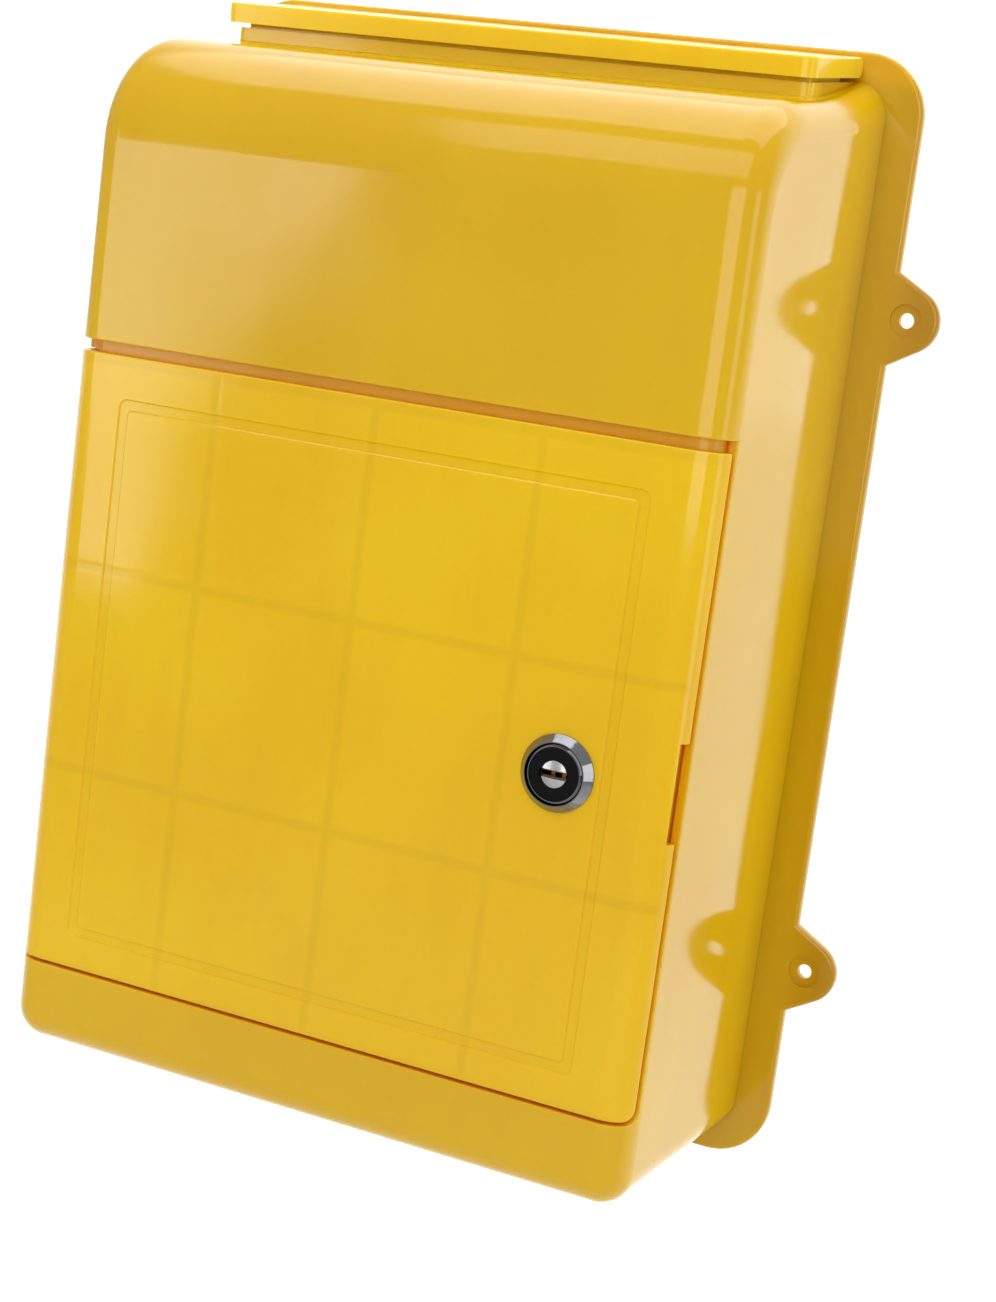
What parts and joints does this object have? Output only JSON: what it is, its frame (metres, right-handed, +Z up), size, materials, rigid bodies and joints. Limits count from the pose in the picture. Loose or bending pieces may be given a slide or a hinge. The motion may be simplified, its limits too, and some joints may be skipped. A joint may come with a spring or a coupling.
{
  "type": "mailbox",
  "caption": "Wall-mounted plastic mailbox with a hooded body, a hinged front door with a cam lock, a sloping letter flap over the top slot and a flange with four screw ears.",
  "frame": {"origin": "the middle of the four wall screw holes, on the back face of the flange that lies against the wall", "axes": "+X to the right as seen from in front, +Y back into the wall, +Z up; the door faces -Y"},
  "size_m": [0.265, 0.1032, 0.346],
  "materials": {
    "housing_plastic": "glossy warm yellow moulded plastic, faintly translucent",
    "door_plastic": "glossy warm yellow moulded plastic, faintly translucent",
    "flap_plastic": "glossy warm yellow moulded plastic, faintly translucent",
    "back_plate_plastic": "warm yellow moulded plastic, satin",
    "lock_chrome": "bright chrome plate",
    "plug_chrome": "nickel-plated, lightly worn round the key slot",
    "lock_black": "black plastic",
    "wafer_brass": "plain stamped brass",
    "zinc_steel": "zinc-plated steel",
    "pin_steel": "bright drawn steel",
    "screw_steel": "zinc-plated steel"
  },
  "bodies": {
    "wall_body": {"housing": "housing_plastic", "back_plate": "back_plate_plastic", "back_plate_screws": "screw_steel", "door_hinge_pins": "pin_steel"},
    "door_leaf": {"door": "door_plastic", "lock_body": "lock_chrome", "lock_face_ring": "lock_black", "lock_nut": "zinc_steel", "lock_washer": "zinc_steel"},
    "lock_core": {"lock_plug": "plug_chrome", "lock_wafers": "wafer_brass", "lock_stop_plate": "zinc_steel", "lock_cam": "zinc_steel", "cam_spring_washer": "zinc_steel", "cam_screw": "zinc_steel"},
    "flap": {"letter_flap": "flap_plastic", "letter_flap_rod": "pin_steel"}
  },
  "joints": [
    {"name": "door_hinge", "type": "hinge", "parent": "wall_body", "child": "door_leaf", "pos_m": [-0.1034, -0.0895, -0.0343], "axis": [0, 0, -1], "range_deg": [0, 100]},
    {"name": "lock_turn", "type": "hinge", "parent": "door_leaf", "child": "lock_core", "pos_m": [0.071, -0.09, -0.0343], "axis": [0, 1, 0], "range_deg": [0, 90]},
    {"name": "flap_hinge", "type": "hinge", "parent": "wall_body", "child": "flap", "pos_m": [0, -0.0065, 0.17359], "axis": [-1, 0, 0], "range_deg": [0, 95]}
  ]
}
